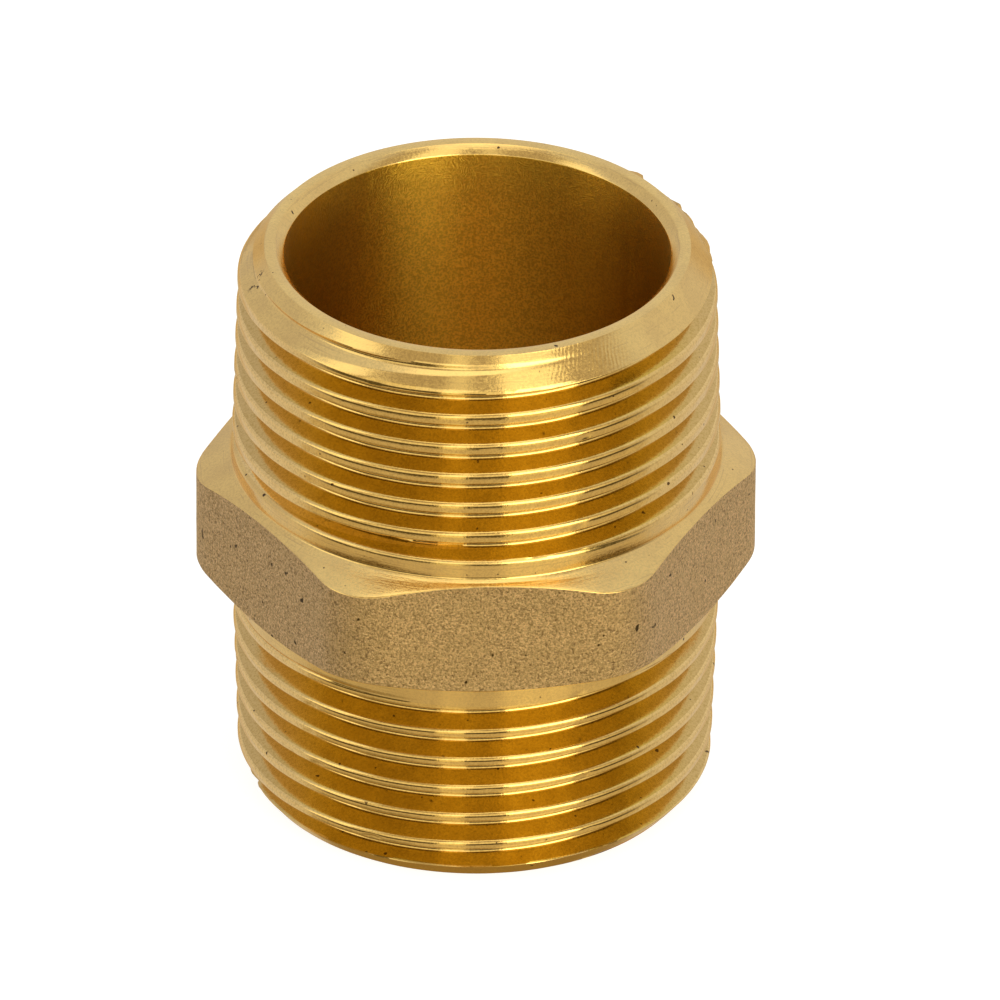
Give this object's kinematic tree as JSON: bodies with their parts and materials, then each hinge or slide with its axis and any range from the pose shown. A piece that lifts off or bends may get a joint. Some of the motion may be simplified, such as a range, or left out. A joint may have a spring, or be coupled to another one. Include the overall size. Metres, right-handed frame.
{
  "type": "hex nipple",
  "caption": "Brass hex nipple: a straight pipe fitting with a taper-threaded male end on each side of a central wrench hexagon, and a bore right through.",
  "frame": {"origin": "centre of the lower end face, on the bore's axis", "axes": "+Z along the bore from the lower end to the upper end; hexagon flats face -Y and +Y, and hexagon corners point to -X and +X"},
  "size_m": [0.0306, 0.0274, 0.0326],
  "materials": {
    "brass": "bright machined brass on threads, ends and bore, with a matt shot-blasted forging skin on the hexagon's flats"
  },
  "bodies": {
    "root": {"nipple_body": "brass"}
  },
  "joints": []
}
